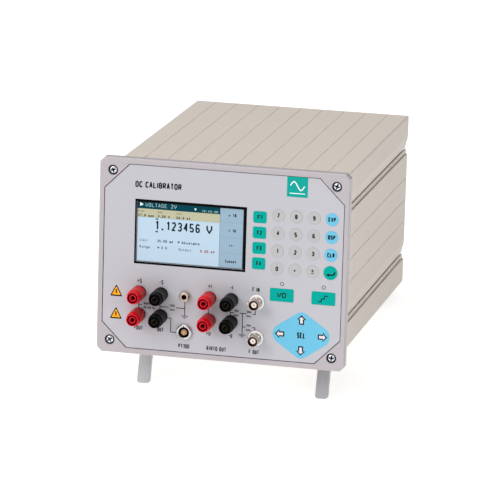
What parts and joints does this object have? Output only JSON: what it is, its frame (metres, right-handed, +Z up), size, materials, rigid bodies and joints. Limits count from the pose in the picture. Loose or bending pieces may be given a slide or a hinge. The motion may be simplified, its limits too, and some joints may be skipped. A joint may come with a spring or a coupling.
{
  "type": "bench calibration instrument",
  "caption": "Bench instrument in a grooved aluminium housing with a colour display, membrane keys, safety terminals and fold-out tilt legs.",
  "frame": {"origin": "on the table under the middle of the object's box", "axes": "+X to the instrument's right seen from the front, +Y from the front to the rear, +Z up; the instrument is tilted back on its legs"},
  "size_m": [0.215, 0.3454, 0.2118],
  "materials": {
    "coated_housing": "light warm grey powder coat, satin",
    "coated_frame": "light warm grey powder coat, satin",
    "panel_foil": "light grey printed foil over an aluminium plate, matt",
    "key_grey": "printed membrane key, matt",
    "key_green": "printed membrane key, matt",
    "key_blue": "printed membrane key, matt",
    "key_white": "printed membrane key, matt",
    "screw_zinc": "bright zinc plating",
    "post_red": "red moulded insulation",
    "post_black": "black moulded insulation",
    "earth_metal": "dull nickel on brass",
    "socket_metal": "bright nickel on brass",
    "board_green": "solder mask",
    "leg_metal": "grey satin with a black rubber sole",
    "foot_rubber": "matt",
    "inlet_black": "moulded, fine grain",
    "transformer_iron": "varnished laminations and tape"
  },
  "bodies": {
    "instrument": {"front_frame": "coated_frame", "frame_screw_1": "screw_zinc", "frame_screw_2": "screw_zinc", "frame_screw_3": "screw_zinc", "frame_screw_4": "screw_zinc", "front_panel": "panel_foil", "display_board": "board_green", "terminal_board": "board_green", "earth_socket": "earth_metal", "sensor_socket": "socket_metal", "coax_socket_upper": "socket_metal", "coax_socket_lower": "socket_metal", "top_cover": "coated_housing", "bottom_shell": "coated_housing", "front_foot_left": "foot_rubber", "rear_foot_left": "foot_rubber", "front_foot_right": "foot_rubber", "rear_foot_right": "foot_rubber", "rear_panel": "coated_housing", "power_inlet": "inlet_black", "main_board": "board_green", "mains_transformer": "transformer_iron"},
    "key_f1": {"key_f1": "key_green"},
    "key_f2": {"key_f2": "key_green"},
    "key_f3": {"key_f3": "key_green"},
    "key_f4": {"key_f4": "key_green"},
    "key_7": {"key_7": "key_grey"},
    "key_8": {"key_8": "key_grey"},
    "key_9": {"key_9": "key_grey"},
    "key_exponent": {"key_exponent": "key_blue"},
    "key_4": {"key_4": "key_grey"},
    "key_5": {"key_5": "key_grey"},
    "key_6": {"key_6": "key_grey"},
    "key_display": {"key_display": "key_blue"},
    "key_1": {"key_1": "key_grey"},
    "key_2": {"key_2": "key_grey"},
    "key_3": {"key_3": "key_grey"},
    "key_clear": {"key_clear": "key_blue"},
    "key_0": {"key_0": "key_grey"},
    "key_point": {"key_point": "key_grey"},
    "key_sign": {"key_sign": "key_grey"},
    "key_enter": {"key_enter": "key_green"},
    "key_output": {"key_output": "key_green"},
    "key_step": {"key_step": "key_green"},
    "key_up": {"key_up": "key_white"},
    "key_left": {"key_left": "key_white"},
    "key_down": {"key_down": "key_white"},
    "key_right": {"key_right": "key_white"},
    "key_select": {"key_select": "key_blue"},
    "post_left_red_upper": {"post_left_red_upper": "post_red"},
    "post_left_red_lower": {"post_left_red_lower": "post_red"},
    "post_left_black_upper": {"post_left_black_upper": "post_black"},
    "post_left_black_lower": {"post_left_black_lower": "post_black"},
    "post_right_red_upper": {"post_right_red_upper": "post_red"},
    "post_right_red_lower": {"post_right_red_lower": "post_red"},
    "post_right_black_upper": {"post_right_black_upper": "post_black"},
    "post_right_black_lower": {"post_right_black_lower": "post_black"},
    "tilt_leg_left": {"tilt_leg_left": "leg_metal"},
    "tilt_leg_right": {"tilt_leg_right": "leg_metal"},
    "mains_rocker": {"mains_rocker": "inlet_black"}
  },
  "joints": [
    {"name": "key_f1_press", "type": "slide", "parent": "instrument", "child": "key_f1", "axis": [0, 0.9908, -0.1356], "range_m": [0, 0.0004], "stiffness_N_per_m": 2000, "springref_m": -0.0001},
    {"name": "key_f2_press", "type": "slide", "parent": "instrument", "child": "key_f2", "axis": [0, 0.9908, -0.1356], "range_m": [0, 0.0004], "stiffness_N_per_m": 2000, "springref_m": -0.0001},
    {"name": "key_f3_press", "type": "slide", "parent": "instrument", "child": "key_f3", "axis": [0, 0.9908, -0.1356], "range_m": [0, 0.0004], "stiffness_N_per_m": 2000, "springref_m": -0.0001},
    {"name": "key_f4_press", "type": "slide", "parent": "instrument", "child": "key_f4", "axis": [0, 0.9908, -0.1356], "range_m": [0, 0.0004], "stiffness_N_per_m": 2000, "springref_m": -0.0001},
    {"name": "key_7_press", "type": "slide", "parent": "instrument", "child": "key_7", "axis": [0, 0.9908, -0.1356], "range_m": [0, 0.0004], "stiffness_N_per_m": 2000, "springref_m": -0.0001},
    {"name": "key_8_press", "type": "slide", "parent": "instrument", "child": "key_8", "axis": [0, 0.9908, -0.1356], "range_m": [0, 0.0004], "stiffness_N_per_m": 2000, "springref_m": -0.0001},
    {"name": "key_9_press", "type": "slide", "parent": "instrument", "child": "key_9", "axis": [0, 0.9908, -0.1356], "range_m": [0, 0.0004], "stiffness_N_per_m": 2000, "springref_m": -0.0001},
    {"name": "key_exponent_press", "type": "slide", "parent": "instrument", "child": "key_exponent", "axis": [0, 0.9908, -0.1356], "range_m": [0, 0.0004], "stiffness_N_per_m": 2000, "springref_m": -0.0001},
    {"name": "key_4_press", "type": "slide", "parent": "instrument", "child": "key_4", "axis": [0, 0.9908, -0.1356], "range_m": [0, 0.0004], "stiffness_N_per_m": 2000, "springref_m": -0.0001},
    {"name": "key_5_press", "type": "slide", "parent": "instrument", "child": "key_5", "axis": [0, 0.9908, -0.1356], "range_m": [0, 0.0004], "stiffness_N_per_m": 2000, "springref_m": -0.0001},
    {"name": "key_6_press", "type": "slide", "parent": "instrument", "child": "key_6", "axis": [0, 0.9908, -0.1356], "range_m": [0, 0.0004], "stiffness_N_per_m": 2000, "springref_m": -0.0001},
    {"name": "key_display_press", "type": "slide", "parent": "instrument", "child": "key_display", "axis": [0, 0.9908, -0.1356], "range_m": [0, 0.0004], "stiffness_N_per_m": 2000, "springref_m": -0.0001},
    {"name": "key_1_press", "type": "slide", "parent": "instrument", "child": "key_1", "axis": [0, 0.9908, -0.1356], "range_m": [0, 0.0004], "stiffness_N_per_m": 2000, "springref_m": -0.0001},
    {"name": "key_2_press", "type": "slide", "parent": "instrument", "child": "key_2", "axis": [0, 0.9908, -0.1356], "range_m": [0, 0.0004], "stiffness_N_per_m": 2000, "springref_m": -0.0001},
    {"name": "key_3_press", "type": "slide", "parent": "instrument", "child": "key_3", "axis": [0, 0.9908, -0.1356], "range_m": [0, 0.0004], "stiffness_N_per_m": 2000, "springref_m": -0.0001},
    {"name": "key_clear_press", "type": "slide", "parent": "instrument", "child": "key_clear", "axis": [0, 0.9908, -0.1356], "range_m": [0, 0.0004], "stiffness_N_per_m": 2000, "springref_m": -0.0001},
    {"name": "key_0_press", "type": "slide", "parent": "instrument", "child": "key_0", "axis": [0, 0.9908, -0.1356], "range_m": [0, 0.0004], "stiffness_N_per_m": 2000, "springref_m": -0.0001},
    {"name": "key_point_press", "type": "slide", "parent": "instrument", "child": "key_point", "axis": [0, 0.9908, -0.1356], "range_m": [0, 0.0004], "stiffness_N_per_m": 2000, "springref_m": -0.0001},
    {"name": "key_sign_press", "type": "slide", "parent": "instrument", "child": "key_sign", "axis": [0, 0.9908, -0.1356], "range_m": [0, 0.0004], "stiffness_N_per_m": 2000, "springref_m": -0.0001},
    {"name": "key_enter_press", "type": "slide", "parent": "instrument", "child": "key_enter", "axis": [0, 0.9908, -0.1356], "range_m": [0, 0.0004], "stiffness_N_per_m": 2000, "springref_m": -0.0001},
    {"name": "key_output_press", "type": "slide", "parent": "instrument", "child": "key_output", "axis": [0, 0.9908, -0.1356], "range_m": [0, 0.0004], "stiffness_N_per_m": 2000, "springref_m": -0.0001},
    {"name": "key_step_press", "type": "slide", "parent": "instrument", "child": "key_step", "axis": [0, 0.9908, -0.1356], "range_m": [0, 0.0004], "stiffness_N_per_m": 2000, "springref_m": -0.0001},
    {"name": "key_up_press", "type": "slide", "parent": "instrument", "child": "key_up", "axis": [0, 0.9908, -0.1356], "range_m": [0, 0.0004], "stiffness_N_per_m": 2000, "springref_m": -0.0001},
    {"name": "key_left_press", "type": "slide", "parent": "instrument", "child": "key_left", "axis": [0, 0.9908, -0.1356], "range_m": [0, 0.0004], "stiffness_N_per_m": 2000, "springref_m": -0.0001},
    {"name": "key_down_press", "type": "slide", "parent": "instrument", "child": "key_down", "axis": [0, 0.9908, -0.1356], "range_m": [0, 0.0004], "stiffness_N_per_m": 2000, "springref_m": -0.0001},
    {"name": "key_right_press", "type": "slide", "parent": "instrument", "child": "key_right", "axis": [0, 0.9908, -0.1356], "range_m": [0, 0.0004], "stiffness_N_per_m": 2000, "springref_m": -0.0001},
    {"name": "key_select_press", "type": "slide", "parent": "instrument", "child": "key_select", "axis": [0, 0.9908, -0.1356], "range_m": [0, 0.0004], "stiffness_N_per_m": 2000, "springref_m": -0.0001},
    {"name": "post_left_red_upper_unscrew", "type": "slide", "parent": "instrument", "child": "post_left_red_upper", "axis": [0, -0.9908, 0.1356], "range_m": [0, 0.0045]},
    {"name": "post_left_red_lower_unscrew", "type": "slide", "parent": "instrument", "child": "post_left_red_lower", "axis": [0, -0.9908, 0.1356], "range_m": [0, 0.0045]},
    {"name": "post_left_black_upper_unscrew", "type": "slide", "parent": "instrument", "child": "post_left_black_upper", "axis": [0, -0.9908, 0.1356], "range_m": [0, 0.0045]},
    {"name": "post_left_black_lower_unscrew", "type": "slide", "parent": "instrument", "child": "post_left_black_lower", "axis": [0, -0.9908, 0.1356], "range_m": [0, 0.0045]},
    {"name": "post_right_red_upper_unscrew", "type": "slide", "parent": "instrument", "child": "post_right_red_upper", "axis": [0, -0.9908, 0.1356], "range_m": [0, 0.0045]},
    {"name": "post_right_red_lower_unscrew", "type": "slide", "parent": "instrument", "child": "post_right_red_lower", "axis": [0, -0.9908, 0.1356], "range_m": [0, 0.0045]},
    {"name": "post_right_black_upper_unscrew", "type": "slide", "parent": "instrument", "child": "post_right_black_upper", "axis": [0, -0.9908, 0.1356], "range_m": [0, 0.0045]},
    {"name": "post_right_black_lower_unscrew", "type": "slide", "parent": "instrument", "child": "post_right_black_lower", "axis": [0, -0.9908, 0.1356], "range_m": [0, 0.0045]},
    {"name": "tilt_leg_left_fold", "type": "hinge", "parent": "instrument", "child": "tilt_leg_left", "pos_m": [-0.0785, -0.09003, 0.03592], "axis": [1, 0, 0], "range_deg": [0, 108.5]},
    {"name": "tilt_leg_right_fold", "type": "hinge", "parent": "instrument", "child": "tilt_leg_right", "pos_m": [0.0785, -0.09003, 0.03592], "axis": [1, 0, 0], "range_deg": [0, 108.5]},
    {"name": "mains_rocker_switch", "type": "hinge", "parent": "instrument", "child": "mains_rocker", "pos_m": [0.062, 0.16138, 0.07698], "axis": [-1, 0, 0], "range_deg": [0, 20]}
  ]
}
